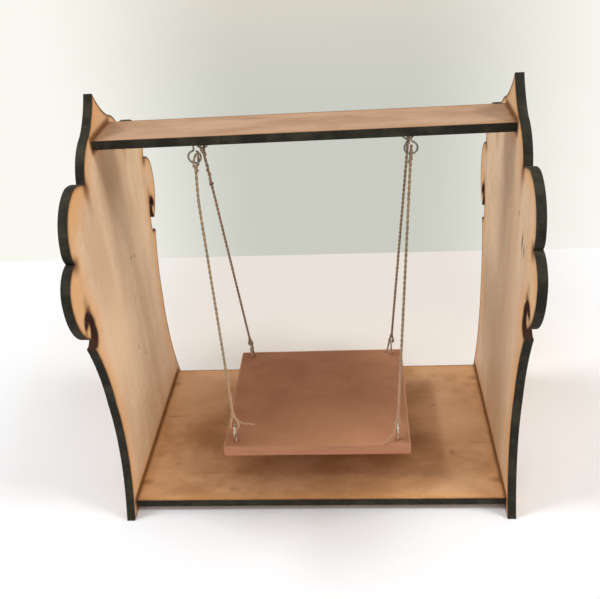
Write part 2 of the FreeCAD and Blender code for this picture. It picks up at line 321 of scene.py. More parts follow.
def from_a_board(finish, depth, height, inner, half_slot, half_depth, middle):
    """How far a point lies from a board let into the panel or, on the outside, from its slot."""
    past = finish.sum("SUBTRACT", depth, finish.between(inner, half_slot, half_depth))
    over = finish.size(finish.sum("SUBTRACT", height, middle))
    over = finish.sum("SUBTRACT", over, HALF_SHEET)
    corner = finish.point(finish.sum("MAXIMUM", past, 0.0), finish.sum("MAXIMUM", over, 0.0), 0.0)
    return finish.arrow("LENGTH", corner, gives="Value")


def panel_finish(side):
    finish = Finish(f"panel_{side}_board")
    place = finish.place()
    across, depth, height = finish.parts(place)
    off_middle = finish.size(depth)
    spread = finish.point(depth, height, 0.0)
    folded = finish.point(off_middle, height, 0.0)
    face = finish.on_face(ACROSS)

    band = finish.cloud(place, (90.0, 30.0, 210.0), 2.0, 0.5)
    streak = finish.cloud(place, (60.0, 13.0, 80.0), 4.0, 0.6, 5.0)
    grain = finish.cloud(place, (9.0, 0.9, 5.0), 3.0, 0.65, 11.0)
    patch = finish.cloud(place, (20.0, 16.0, 20.0), 5.0, 0.62, 2.0)
    mottle = finish.cloud(place, 3.6, 3.0, 0.6, 21.0)
    speck = finish.cloud(place, 0.6, 2.0, 0.7, 9.0)
    tone = finish.blend(finish.fade(band, 0.68, 0.34), paint(228, 200, 170), paint(210, 177, 146))
    tone = finish.touched(
        tone,
        (patch, 0.72, 0.40, 0.5, paint(212, 174, 134)),
        (patch, 0.28, 0.45, 0.3, paint(232, 202, 174)),
        (streak, 0.72, 0.46, 0.16, paint(186, 148, 112)),
        (mottle, 0.70, 0.42, 0.22, paint(196, 160, 126)),
        (grain, 0.78, 0.56, 0.10, paint(150, 114, 82)),
        (speck, 0.75, 0.45, 0.16, paint(160, 124, 90)),
    )
    # Painted light, painted shade under the beam, and honey and browner patches
    tone = finish.shaded(tone, spread, PANEL_TONES_LIGHT_AND_SHADE[side])

    # The heat's wandering bands beside the cut and round the boards that are let in
    cut = from_the_cut(finish, folded, height)
    inner = finish.fade(finish.size(across), PANEL_INSIDE + 1.5, PANEL_OUTSIDE - 1.5)
    joints = [from_a_board(finish, off_middle, height, inner, *board) for board in LET_IN]
    joint = finish.sum("MINIMUM", *joints)
    wander = finish.cloud(place, 7.0, 3.0, 0.6, 4.0)
    waver = finish.sum("MULTIPLY_ADD", wander, 2.6, -1.3)
    rim = finish.sum("ADD", cut, waver)
    honey = finish.sum("MULTIPLY", finish.fade(rim, 1.0, 18.0), 0.66)
    honey = finish.sum("MAXIMUM", honey, finish.sum("MULTIPLY", finish.fade(joint, 0.5, 12.0), 0.6))
    tone = finish.blend(honey, tone, paint(220, 164, 104))
    toast = finish.sum("MULTIPLY", finish.fade(rim, 0.2, 4.2), 0.6)
    toast = finish.sum("MAXIMUM", toast, finish.sum("MULTIPLY", finish.fade(joint, 0.1, 5.0), 0.7))
    tone = finish.blend(toast, tone, paint(150, 96, 50))
    let_in = finish.sum("MULTIPLY_ADD", waver, 0.6, joint)
    tone = finish.touched(tone, (let_in, 1.3, 4.4, 0.76, paint(112, 68, 32)))
    burnt = finish.sum("MULTIPLY_ADD", waver, 0.25, cut)
    tone = finish.touched(tone, (burnt, 0.5, 1.6, 0.94, paint(60, 34, 18)))

    for depth_at, height_at, reach, darkness in SMOKE:
        away = finish.sum("ADD", finish.length_to(folded, (depth_at, height_at, 0.0)), waver)
        tone = finish.touched(tone, (away, 0.0, reach, darkness, paint(98, 50, 26)))
    uneven = finish.sum("MULTIPLY_ADD", grain, 1.4, -0.7)
    tone = finish.marked(tone, spread, PANEL_MARKS[side], uneven, 0.15, paint(96, 72, 52))

    edge_tone, edge_height = charred(finish, place, ACROSS)
    from_slit = finish.length_to(folded, SLIT_MIDDLE)
    edge_tone = finish.touched(edge_tone, (from_slit, *SLIT_REACH, 0.75, paint(66, 34, 22)))
    face_height = finish.sum("MULTIPLY_ADD", speck, 0.35, grain)
    dull = finish.sum("MULTIPLY_ADD", streak, 0.16, 0.52)
    return board_surface(finish, face, (tone, edge_tone), (face_height, edge_height), dull, 0.2)


for side in ("left", "right"):
    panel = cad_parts[f"side_panel_{side}"]
    dress(panel, panel_finish(side), LASER_RIM)

# Base board. A rectangle of the same board with one wide tab at each end, raised a little off
# the table. Its face is browner, mottled by glue and handling, with scorched lines along the
# two joints and charred front and rear edges. Painted light pales it in patches, and the seat's
# shadow is painted round and in front of the seat.

# Smudges by the joints and on the face: across, depth, half width, half depth and darkness
BASE_MARKS = [
    (-126.0, -58.7, 9.0, 4.0, 0.5), (-126.0, 57.9, 8.0, 4.0, 0.45), (126.0, 58.8, 8.0, 4.0, 0.45),
    (126.0, -59.4, 9.0, 4.0, 0.5), (-117.0, 14.8, 13.0, 0.8, 0.35), (118.0, -20.5, 11.0, 0.8, 0.35),
    (96.0, -31.0, 2.2, 4.0, 0.3), (-60.0, -66.0, 3.0, 1.6, 0.25), (-104.0, -40.0, 3.6, 2.0, 0.25),
    (88.0, 24.0, 2.6, 1.4, 0.25),
]
BASE_PAINTED_LIGHT, BASE_PAINTED_SHADOW = paint(236, 190, 148), paint(160, 112, 72)
# Painted light where the base is paler, and the seat's shadow painted where it is browner, round and in
# front of the seat: across, depth, reach, share and tone
BASE_PAINTED_LIGHT_AND_SHADOW = [
    (-104.0, 52.0, 60.0, 0.85, BASE_PAINTED_LIGHT), (100.0, 6.0, 46.0, 0.7, BASE_PAINTED_LIGHT),
    (-6.0, -68.0, 50.0, 0.3, BASE_PAINTED_SHADOW), (100.0, -62.0, 34.0, 0.4, BASE_PAINTED_LIGHT),
    (-108.0, -58.0, 30.0, 0.2, BASE_PAINTED_LIGHT), (73.0, -17.0, 18.0, 0.75, BASE_PAINTED_SHADOW),
    (-88.0, -14.0, 22.0, 0.4, BASE_PAINTED_SHADOW),
]
# Under this height the base's edges are chipped down to the white board
BASE_CHIPS_TOP = 4.1


def flat_board_finish(name, half_depth, pale, deep, cloudy, marks, honey_tone,
                      tones=(), chips_top=None):
    """The face, rims and charred edges of a board that lies flat between the panels."""
    finish = Finish(name)
    place = finish.place()
    across, depth, height = finish.parts(place)
    spread = finish.point(across, depth, 0.0)
    face = finish.on_face(UPWARD)
    patch = finish.cloud(place, cloudy, 4.0, 0.6)
    streak = finish.cloud(place, (70.0, 2.4, 20.0), 3.0, 0.6, 5.0)
    grain = finish.cloud(place, (16.0, 0.8, 8.0), 2.0, 0.6, 11.0)
    speck = finish.cloud(place, 0.55, 2.0, 0.7, 9.0)
    blotch = finish.cloud(place, (11.0, 8.0, 8.0), 3.0, 0.65, 13.0)
    tone = finish.blend(finish.fade(patch, 0.66, 0.36), pale, deep)
    tone = finish.touched(
        tone,
        (streak, 0.72, 0.45, 0.20, deep),
        (blotch, 0.74, 0.50, 0.35, deep),
        (grain, 0.80, 0.60, 0.16, paint(128, 86, 54)),
        (speck, 0.75, 0.45, 0.18, paint(138, 98, 64)),
    )
    # Patches given for the board: on the base, painted light and the seat's painted shadow
    tone = finish.shaded(tone, spread, tones)

    # The heat's wandering bands along the rims, and the scorch where the panels stand on the ends
    wander = finish.cloud(place, 8.0, 3.0, 0.6, 4.0)
    waver = finish.sum("MULTIPLY_ADD", wander, 2.4, -1.2)
    to_end = finish.sum("SUBTRACT", PANEL_INSIDE, finish.size(across))
    to_rim = finish.sum("SUBTRACT", half_depth, finish.size(depth))
    nearest = finish.sum("ADD", finish.sum("MINIMUM", to_end, to_rim), waver)
    ends = finish.sum("MULTIPLY_ADD", waver, 0.7, to_end)
    burnt = finish.sum("MULTIPLY_ADD", waver, 0.2, to_rim)
    tone = finish.touched(
        tone,
        (nearest, 0.5, 9.0, 0.55, honey_tone),
        (nearest, 0.0, 2.6, 0.5, paint(134, 84, 46)),
        (ends, 0.0, 3.2, 0.72, paint(112, 66, 36)),
        (burnt, 0.2, 0.8, 0.85, paint(74, 42, 22)),
    )
    uneven = finish.sum("MULTIPLY", waver, 0.25)
    tone = finish.marked(tone, spread, marks, uneven, 0.1, paint(104, 62, 34))

    edge_tone, edge_height = charred(finish, place, UPWARD)
    if chips_top:
        low = finish.fade(height, chips_top, chips_top + 0.5)
        chip = finish.cloud(place, (1.6, 1.2, 0.8), 1.0, 0.5, 31.0)
        edge_tone = finish.touched(edge_tone, (chip, 0.78, 0.70, low, paint(226, 210, 186)))
    face_height = finish.sum("MULTIPLY_ADD", speck, 0.35, grain)
    dull = finish.sum("MULTIPLY_ADD", patch, 0.2, 0.46)
    return board_surface(finish, face, (tone, edge_tone), (face_height, edge_height), dull, 0.25)


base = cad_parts["base_board"]
dress(base, flat_board_finish(
    "base_board_face", BASE_HALF_DEPTH, paint(220, 172, 130), paint(192, 142, 98),
    (34.0, 26.0, 30.0), BASE_MARKS, paint(212, 156, 98), BASE_PAINTED_LIGHT_AND_SHADOW, BASE_CHIPS_TOP,
), LASER_RIM)

# Top beam. A narrow strip of board tabbed through both panels, pinker and cleaner than the
# base, with faint smears along it, charred edges and a scorched line at each joint.

# Smears along the beam, in the same order; the last, by the left end, is a painted shadow of the left
# panel's tip
BEAM_MARKS = [
    (-30.0, 12.5, 13.0, 2.2, 0.28), (-71.0, 10.6, 8.0, 1.6, 0.28), (28.0, 8.0, 2.6, 1.2, 0.35),
    (60.0, -4.0, 20.0, 2.0, 0.12), (-118.0, 14.0, 9.0, 5.0, 0.18),
]

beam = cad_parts["top_beam"]
dress(beam, flat_board_finish(
    "top_beam_face", BEAM_HALF_DEPTH, paint(184, 149, 123), paint(162, 126, 98),
    (52.0, 16.0, 30.0), BEAM_MARKS, paint(176, 136, 100),
), LASER_RIM)

# Seat board. A thicker piece of plain fibreboard, sawn and lightly sanded: pinkish brown all
# through, a shade lighter along its upper rim, with fine fibres and no scorching. Painted light
# makes its top paler towards the front and its sides paler than its top.

SEAT_HALF_WIDTH, SEAT_HALF_DEPTH = 64.5, 57.5
SEAT_EYE_ACROSS, SEAT_EYE_DEPTH = 56.0, 51.5
# Painted light: the top is painted paler towards the front
PAINTED_LIGHT_MIDDLE, PAINTED_LIGHT_REACH = (10.0, -66.0, 0.0), 84.0
SAWN_RIM = 0.35


def seat_finish():
    finish = Finish("seat_board_fibre")
    place = finish.place()
    across, depth = finish.parts(place)[:2]
    top = finish.on_face(UPWARD)
    patch = finish.cloud(place, (42.0, 30.0, 20.0), 3.0, 0.55)
    blotch = finish.cloud(place, 7.0, 3.0, 0.6, 6.0)
    fibre = finish.cloud(place, 0.9, 3.0, 0.75, 3.0)
    layer = finish.cloud(place, (24.0, 24.0, 0.7), 2.0, 0.6, 8.0)
    tone = finish.blend(finish.fade(patch, 0.68, 0.34), paint(184, 131, 99), paint(168, 115, 85))
    from_painted_light = finish.length_to(finish.point(across, depth, 0.0), PAINTED_LIGHT_MIDDLE)
    tone = finish.touched(
        tone,
        (blotch, 0.72, 0.44, 0.25, paint(164, 111, 80)),
        (fibre, 0.72, 0.50, 0.30, paint(148, 98, 68)),
        (fibre, 0.30, 0.42, 0.22, paint(212, 160, 126)),
        (from_painted_light, 0.0, PAINTED_LIGHT_REACH, 0.85, paint(226, 165, 127)),
    )
    # The sides are the same fibreboard as the top, painted lighter than it as painted light
    side_tone_painted_lighter = finish.blend(finish.fade(layer, 0.70, 0.40), paint(202, 141, 108), paint(188, 127, 96))
    tone = finish.blend(top, side_tone_painted_lighter, tone)

    # A paler band along the top's rims, and dark rings where the screw eyes press the fibres down
    off_across, off_depth = finish.size(across), finish.size(depth)
    to_side = finish.sum("SUBTRACT", SEAT_HALF_WIDTH, off_across)
    to_front = finish.sum("SUBTRACT", SEAT_HALF_DEPTH, off_depth)
    rim = finish.sum("MINIMUM", to_side, to_front)
    corner = finish.point(off_across, off_depth, 0.0)
    from_screw = finish.length_to(corner, (SEAT_EYE_ACROSS, SEAT_EYE_DEPTH, 0.0))
    from_screw = finish.sum("MULTIPLY_ADD", blotch, 2.0, from_screw)
    tone = finish.touched(
        tone,
        (rim, 0.2, 1.6, finish.sum("MULTIPLY", top, 0.5), paint(216, 164, 130)),
        (from_screw, 1.4, 5.0, 0.5, paint(128, 76, 56)),
    )
    return finish.surface(
        Base_Color=tone,
        Roughness=finish.sum("MULTIPLY_ADD", blotch, 0.18, 0.58),
        Normal=finish.bump(finish.sum("MULTIPLY_ADD", blotch, 0.4, fibre), 0.10, 0.6),
        Specular_IOR_Level=0.3,
    )


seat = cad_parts["seat_board"]
dress(seat, seat_finish(), SAWN_RIM)

# Screw eyes. Eight small open rings bent from 1.2 mm steel wire: a pointed shank with a rolled
# thread, a neck that leans over, and a ring that stops short of the shank. Four are screwed
# up into the beam and four down into the seat, and part of the thread shows above the board.

WIRE, SHANK_LENGTH = 1.2, 8.813
RING_RADIUS, NECK_RADIUS = 3.9, 1.5
POINT_LENGTH, POINT_BLUNT = 1.6, 0.12
OPEN_ANGLE = math.radians(19)
THREAD_PITCH, THREAD_DEPTH = 0.72, 0.16
# The thread's crest covers this share of its pitch on either side, and it runs out below the neck
CREST_SHARE = 0.34
THREAD_STOP, RUNOUT = 0.9, 0.6
SHANK_STEPS, NECK_STEPS, RING_STEPS, WIRE_SIDES = 111, 12, 56, 20
BEAM_UNDERSIDE, BEAM_EYE_STAND = 244.0, 4.5
BEAM_EYE_ACROSS, BEAM_EYE_DEPTH = 66.0, 13.5
SEAT_TOP, SEAT_EYE_STAND = 40.0, 5.0
# Each corner's name, its end by name, and which way it lies from the middle
CORNERS = [(f"{end_name}_{side_name}", end_name, end, side)
           for end_name, end in (("front", -1), ("rear", 1))
           for side_name, side in (("left", -1), ("right", 1))]


def carried_along(line):
    """Each point of a line with two directions square to it, carried untwisted, and how far it is."""
    heading = (line[1] - line[0]).normalized()
    normal = heading.orthogonal().normalized()
    gone = 0.0
    for index, centre in enumerate(line):
        before, after = line[max(index - 1, 0)], line[min(index + 1, len(line) - 1)]
        new_heading = (after - before).normalized()
        normal = heading.rotation_difference(new_heading) @ normal
        normal = (normal - new_heading * normal.dot(new_heading)).normalized()
        heading = new_heading
        if index:
            gone += (centre - line[index - 1]).length
        yield centre, normal, heading.cross(normal), gone


def spoke(normal, beside, angle):
    """The direction at an angle between two that are square to each other."""
    return normal * math.cos(angle) + beside * math.sin(angle)


def tube(line, radius_at, sides):
    """Points and faces of a closed tube along a line. radius_at(how far along, angle) is its radius."""
    points, faces = [], []
    for centre, normal, beside, gone in carried_along(line):
        low, high = len(points) - sides, len(points)
        for side in range(sides):
            angle = 2 * math.pi * side / sides
            points.append(centre + spoke(normal, beside, angle) * radius_at(gone, angle))
        if high:
            for side in range(sides):
                next_side = (side + 1) % sides
                faces.append((low + side, low + next_side, high + next_side, high + side))
    faces.append(tuple(reversed(range(sides))))
    faces.append(tuple(range(len(points) - sides, len(points))))
    return points, faces


def mesh_piece(name, shapes, material):
    """One object from several shapes of points and faces in millimetres, smooth but for its caps."""
    points, faces = [], []
    for shape_points, shape_faces in shapes:
        start = len(points)
        points += [point * MM for point in shape_points]
        faces += [tuple(corner + start for corner in face) for face in shape_faces]
    mesh = bpy.data.meshes.new(name)
    mesh.from_pydata(points, [], faces)
    mesh.materials.append(material)
    for polygon in mesh.polygons:
        polygon.use_smooth = len(polygon.vertices) == 4
    mesh.validate()
    piece = bpy.data.objects.new(name, mesh)
    bpy.context.scene.collection.objects.link(piece)
    return piece


def eye_shape(stand):
    """A screw eye in its own plane, its shank down and its ring up, above a board at zero."""
    ring_height = stand + RING_RADIUS + WIRE / 2
    neck_rise = math.sqrt(RING_RADIUS ** 2 + 2 * RING_RADIUS * NECK_RADIUS)
    neck_start = ring_height - neck_rise
    tip = neck_start - SHANK_LENGTH
    lean = math.atan2(neck_rise, NECK_RADIUS)
    rises = [tip + SHANK_LENGTH * step / SHANK_STEPS for step in range(SHANK_STEPS)]
    line = [Vector((0.0, 0.0, rise)) for rise in rises]
    for step in range(NECK_STEPS):
        turn = lean * step / NECK_STEPS
        aside = NECK_RADIUS * (1 - math.cos(turn))
        line.append(Vector((aside, 0.0, neck_start + NECK_RADIUS * math.sin(turn))))
    ring_turn = math.radians(270) - OPEN_ANGLE + lean
    for step in range(RING_STEPS + 1):
        turn = -lean + ring_turn * step / RING_STEPS
        aside = RING_RADIUS * math.cos(turn)
        line.append(Vector((aside, 0.0, ring_height + RING_RADIUS * math.sin(turn))))
    thread_end = SHANK_LENGTH - THREAD_STOP + RUNOUT

    def radius_at(gone, angle):
        if gone > thread_end:
            return WIRE / 2
        taper = min(1.0, POINT_BLUNT + (1 - POINT_BLUNT) * gone / POINT_LENGTH)
        phase = (gone / THREAD_PITCH - angle / (2 * math.pi)) % 1.0
        crest = max(0.0, 1 - abs(phase - 0.5) / CREST_SHARE)
        runout = min(1.0, (thread_end - gone) / RUNOUT)
        return WIRE / 2 * taper - THREAD_DEPTH * runout * taper * (1 - crest)

    return tube(line, radius_at, WIRE_SIDES)


def placed(shape, turn, spot):
    points, faces = shape
    return [turn @ point + spot for point in points], faces


def steel_finish(name, bright, dark, smoothest):
    finish = Finish(name)
    place = finish.place()
    drawn = finish.cloud(place, (0.5, 0.5, 1.6), 3.0, 0.6)
    dull = finish.cloud(place, 2.4, 2.0, 0.5, 5.0)
    return finish.surface(
        Base_Color=finish.blend(finish.fade(dull, 0.70, 0.35), bright, dark),
        Roughness=finish.sum("MULTIPLY_ADD", drawn, 0.22, smoothest),
        Normal=finish.bump(drawn, 0.02, 0.5),
        Metallic=1.0,
    )


# One steel in two painted copies: darker on the beam as painted shade, brighter on the seat as painted
# light
beam_steel_painted_shade = steel_finish("screw_eye_steel_painted_shade", paint(144, 142, 130), paint(90, 88, 78), 0.12)
seat_steel_painted_light = steel_finish("screw_eye_steel_painted_light", paint(226, 220, 208), paint(168, 163, 150), 0.24)
beam_eye_shape, seat_eye_shape = eye_shape(BEAM_EYE_STAND), eye_shape(SEAT_EYE_STAND)
for corner, _, end, side in CORNERS:
    turn = Matrix.Rotation(math.pi, 4, "Y" if side < 0 else "X")
    spot = Vector((side * BEAM_EYE_ACROSS, end * BEAM_EYE_DEPTH, BEAM_UNDERSIDE))
    shapes = [placed(beam_eye_shape, turn, spot)]
    beam_eye = mesh_piece(f"screw_eye_beam_{corner}", shapes, beam_steel_painted_shade)
    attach(beam_eye, "frame")
    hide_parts(f"beam_eye_{corner}")
    turn = Matrix.Rotation(end * math.pi / 2, 4, "Z")
    spot = Vector((side * SEAT_EYE_ACROSS, end * SEAT_EYE_DEPTH, SEAT_TOP))
    shapes = [placed(seat_eye_shape, turn, spot)]
    seat_eye = mesh_piece(f"screw_eye_seat_{corner}", shapes, seat_steel_painted_light)
    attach(seat_eye, "seat")
    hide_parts(f"seat_eye_{corner}")

# Twines. Four lengths of two-ply jute about 1.35 mm thick, stretched from the beam's screw eyes
# to the seat's by the seat's weight. The front left one still bends near its knot. Loose fibres
# stand off all along them, so the plies are drawn a little fuller.

PLY_RADIUS, PLY_OFFSET, PLY_SIDES = 0.58, 0.40, 10
# The plies turn once round each other in this length
LAY = 7.2
# How much a ply swells and thins, and how slim it ends where it is cut
SWELL, CUT_END = 0.09, 0.62
STRAND_STEP = 0.4
FIBRE_RADIUS, FIBRE_ROOT = 0.042, 0.5
FIBRES_ALONG = 95
# How far below the beam's wire and above the seat's wire each twine's knots begin
KNOT_REACHES = {
    "front_left": (1.8, 8.0), "front_right": (1.8, 3.4),
    "rear_left": (1.8, 3.2), "rear_right": (1.8, 4.4),
}
# In metres, from the ring's wire at the beam to the one at the seat
TWINE_ROUTES = {
    "front_left": [
        (-0.0660, -0.0135, 0.2311), (-0.0667, -0.01759, 0.21155), (-0.06538, -0.02168, 0.19202),
        (-0.05654, -0.04905, 0.06123), (-0.0560, -0.0507, 0.05332),
    ],
    "front_right": [
        (0.0660, -0.0135, 0.2311), (0.06555, -0.01516, 0.22318), (0.05645, -0.04904, 0.06124),
        (0.0560, -0.0507, 0.05332),
    ],
    "rear_left": [
        (-0.0660, 0.0135, 0.2311), (-0.06555, 0.01516, 0.22318), (-0.05645, 0.04904, 0.06124),
        (-0.0560, 0.0507, 0.05332),
    ],
    "rear_right": [
        (0.0660, 0.0135, 0.2311), (0.06555, 0.01516, 0.22318), (0.05645, 0.04904, 0.06124),
        (0.0560, 0.0507, 0.05332),
    ],
}


def smooth_line(points, step):
    """The line of a NURBS spline through a route, with points a step apart, in millimetres."""
    curve = bpy.data.curves.new("route", "CURVE")
    curve.dimensions = "3D"
    spline = curve.splines.new("NURBS")
    spline.points.add(len(points) - 1)
    for spline_point, point in zip(spline.points, points):
        spline_point.co = (*point, 1.0)
    spline.order_u = 3
    spline.use_endpoint_u = True
    spline.resolution_u = 24
    holder = bpy.data.objects.new("route", curve)
    mesh = bpy.data.meshes.new_from_object(holder)
    line = [vertex.co.copy() for vertex in mesh.vertices]
    bpy.data.meshes.remove(mesh)
    bpy.data.objects.remove(holder)
    bpy.data.curves.remove(curve)
    gone = [0.0]
    for before, after in zip(line, line[1:]):
        gone.append(gone[-1] + (after - before).length)
    count = max(4, round(gone[-1] / step))
    spaced, index = [], 0
    for mark in range(count + 1):
        want = gone[-1] * mark / count
        while index < len(line) - 2 and gone[index + 1] < want:
            index += 1
        share = (want - gone[index]) / max(gone[index + 1] - gone[index], 1e-9)
        spaced.append(line[index].lerp(line[index + 1], share))
    return spaced


def laid_plies(line, tightness, dice, thin_end=0.0):
    """Two plies twisted round each other along a line. Each swells and thins a little."""
    plies = ([], [])
    out = PLY_OFFSET * tightness
    whole = 0.0
    for centre, normal, beside, gone in carried_along(line):
        for ply, half_turn in zip(plies, (0.0, math.pi)):
            ply.append(centre + spoke(normal, beside, half_turn + 2 * math.pi * gone / LAY) * out)
        whole = gone
    shapes = []
    for ply in plies:
        waves = [(dice.uniform(2.0, 9.0), dice.uniform(0, 6.28)) for _ in range(3)]

        def radius_at(gone, angle, waves=waves):
            swell = sum(math.sin(6.28 * gone / length + start) for length, start in waves) / 3
            left = max(0.0, whole - gone)
            slim = 1.0 if left >= thin_end else CUT_END + (1 - CUT_END) * left / thin_end
            return PLY_RADIUS * tightness * (1 + SWELL * swell) * slim

        shapes.append(tube(ply, radius_at, PLY_SIDES))
    return shapes


def hair(root, outward, along, length, dice):
    """One loose fibre: it leaves the twine along its lay and curls away."""
    bow = Vector((dice.uniform(-1, 1), dice.uniform(-1, 1), dice.uniform(-1, 1))) * 0.25
    line = []
    for step in range(6):
        share = step / 5
        line.append(root + (along * share + outward * share ** 1.6 + bow * share ** 2) * length)
    return tube(line, lambda gone, angle: FIBRE_RADIUS * (1 - 0.6 * min(1.0, gone / length)), 3)


def off_to_a_side(heading, dice):
    """A direction square to a heading, picked at random."""
    around = dice.uniform(0, 2 * math.pi)
    normal = heading.orthogonal().normalized()
    return spoke(normal, heading.cross(normal), around)


def fibres(line, count, shortest, longest, dice):
    """Loose fibres along a line, each leaning one way or the other."""
    shapes = []
    for _ in range(count):
        index = dice.randrange(1, len(line) - 1)
        heading = (line[index + 1] - line[index - 1]).normalized()
        outward = off_to_a_side(heading, dice)
        lean = dice.choice((-1, 1)) * dice.uniform(0.6, 1.0)
        stand = dice.uniform(0.15, 0.75)
        length = dice.uniform(shortest, longest)
        root = line[index] + outward * FIBRE_ROOT
        shapes.append(hair(root, outward * stand, heading * lean, length, dice))
    return shapes


# Below the first height the front twines are painted paler and warmer, as light thrown up from the
# seat; above the second they aren't
LOW_TWINE, HIGH_TWINE = 72.0, 104.0


def jute_finish(name, pale, deep, lengthways, painted_light_low=0.0):
    finish = Finish(name)
    place = finish.place()
    strand = finish.cloud(place, (0.16, 0.16, lengthways), 3.0, 0.65)
    fleck = finish.cloud(place, (0.8, 0.8, 2.2), 3.0, 0.6, 6.0)
    stretch = finish.cloud(place, (9.0, 9.0, 24.0), 2.0, 0.5, 2.0)
    tone = finish.blend(finish.fade(stretch, 0.68, 0.36), pale, deep)
    if painted_light_low:
        height = finish.parts(place)[2]
        tone = finish.touched(tone, (height, LOW_TWINE, HIGH_TWINE, painted_light_low, paint(222, 164, 128)))
    tone = finish.touched(
        tone,
        (strand, 0.64, 0.44, 0.45, paint(92, 72, 50)),
        (fleck, 0.36, 0.26, 0.4, paint(200, 172, 138)),
    )
    return finish.surface(
        Base_Color=tone,
        Roughness=finish.sum("MULTIPLY_ADD", strand, 0.15, 0.72),
        Normal=finish.bump(strand, 0.10, 0.8),
        Specular_IOR_Level=0.25,
        Sheen_Weight=0.25,
        Sheen_Roughness=0.5,
    )


# The rear twines are the same jute as the front ones, painted darker as shade
jute = {
    "front": jute_finish("jute_twine_front_painted_light", paint(150, 128, 108), paint(112, 94, 78), 1.6, 0.75),
    "rear": jute_finish("jute_twine_rear_painted_shade", paint(118, 98, 80), paint(86, 72, 58), 1.6),
}
loose_jute = jute_finish("jute_fibre", paint(186, 160, 132), paint(148, 124, 98), 1.0)

cords = {}
for corner, end_name, _, _ in CORNERS:
    body = f"{end_name}_twines"
    dice = random.Random(corner)
    route = [Vector(point) / MM for point in TWINE_ROUTES[corner]]
    beam_end, seat_end = (round(reach / STRAND_STEP) for reach in KNOT_REACHES[corner])
    line = smooth_line(route, STRAND_STEP)[beam_end:-seat_end]
    twine = mesh_piece(f"twine_{corner}_plies", laid_plies(line, 1.0, dice), jute[end_name])
    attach(twine, body)
    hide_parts(f"twine_{corner}")
    loose = fibres(line, FIBRES_ALONG, 1.2, 4.2, dice)
    fluff = mesh_piece(f"twine_{corner}_fibres", loose, loose_jute)
    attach(fluff, body)
    cords[corner] = (twine, line, fluff, route)

# Knots. Each twine goes once round its ring's wire, comes back to its own standing part, takes
# two turns round both and is drawn tight. The loose ends are left as they were cut: short under
# the beam but for the rear left one, which is laid along its twine, and frayed at the seat.

DRAWN_TIGHT, KNOT_STEP = 0.82, 0.3
# The two turns round the standing part: their radius, and where they end above the knot's reach
TURN_RADIUS, TURNS_LOW, TURNS_HIGH = 0.75, -0.3, 1.7
# How far past its widest each end of a loop goes on, and how much a spline cuts its bends
LOOP_TOUCH, BEND_CUT = math.radians(22), 1.055
# Each loop's half width, its height past the wire, how far it is turned, and its lean along the wire
BEAM_LOOPS = {
    "front_left": (2.0, 5.9, 36, 1.9), "front_right": (1.55, 5.2, -6, 0.0),
    "rear_left": (1.8, 3.6, 30, -0.6), "rear_right": (1.6, 3.4, 20, 0.0),
}
SEAT_LOOPS = {
    "front_left": (2.8, 2.7, 8, 0.0), "front_right": (1.6, 2.0, -12, 0.0),
    "rear_left": (1.55, 2.0, 4, 0.0), "rear_right": (1.65, 2.1, -6, 0.0),
}
# Beam tails wind down the twine: degrees round it, out from it and down from the knot
SHORT_TAIL = [(0, 1.1, 1.6), (30, 1.6, 2.8)]
LONG_TAIL = [
    (0, 1.1, 2.6), (120, 1.05, 5.4), (260, 1.05, 8.6), (400, 1.05, 11.8), (540, 1.05, 15.0),
    (680, 1.05, 18.2), (820, 1.05, 21.4), (940, 1.1, 24.0), (1040, 1.3, 25.2),
    (1140, 1.35, 25.8), (1240, 1.35, 26.3), (1300, 1.7, 26.0), (1330, 2.5, 25.2),
]
# Seat tails: degrees from inwards to the front, then points out from the knot and up from it
SEAT_TAILS = {
    "front_left": (0, [(1.2, -2.6), (3.2, -6.4), (6.4, -8.2), (10.6, -8.3), (15.0, -9.3)]),
    "front_right": (
        37, [(1.3, -2.0), (1.7, -6.0), (2.5, -10.2), (5.2, -13.2), (9.4, -14.9), (13.4, -15.8)]),
    "rear_left": (12, [(1.3, -2.2), (1.6, -5.5), (1.7, -9.0), (1.9, -12.6), (2.4, -15.6)]),
    "rear_right": (20, [(1.6, -2.2), (2.3, -5.6), (2.9, -9.0), (3.6, -12.2), (4.4, -14.6)]),
}
# How far before its cut a loose end starts to come apart
SHORT_END, SPENT_END = 1.5, {"front": 12.0, "rear": 5.0}
# The loose end leaves the knot this far past its reach
TAIL_RISE = 0.6
FRAYED_FIBRES = 9


def knot_route(hold, along, wire_axis, loop, reach, tail_way, tail, wound_up):
    """The route of one knot's twine, from inside the turns round the ring to its loose end."""
    wide, tall, turned, lean = loop
    out_of_line = Matrix.Rotation(math.radians(turned), 3, along)
    across = out_of_line @ along.cross(wire_axis).normalized()
    wireward = across.cross(along)

    def at(x, y, z):
        return hold + wireward * x + across * y + along * z

    route = [at(0.0, 0.1, reach + 1.6), at(0.0, 0.4, reach + 0.4), at(0.0, 0.6, reach - 0.4)]
    around = math.pi + 2 * LOOP_TOUCH
    for step in range(6):
        angle = LOOP_TOUCH - around * step / 5
        beyond = max(0.0, -math.sin(angle))
        aside, past = wide * BEND_CUT * math.cos(angle), tall * BEND_CUT * math.sin(angle)
        route.append(at(lean * beyond, aside, past))
    route.append(at(0.0, -0.6, reach - 0.4))
    first, last = (TURNS_LOW, TURNS_HIGH) if wound_up else (TURNS_HIGH, TURNS_LOW)
    leave = math.atan2(tail_way.dot(across), tail_way.dot(wireward)) - math.pi / 2
    begin = -math.pi / 2
    swept = (leave - begin) % (2 * math.pi) + 2 * math.pi
    steps = max(8, round(swept / (math.pi / 4)))
    for step in range(1, steps + 1):
        share = step / steps
        angle = begin + swept * share
        rise = reach + first + (last - first) * share
        route.append(at(TURN_RADIUS * math.cos(angle), TURN_RADIUS * math.sin(angle), rise))
    return route + tail


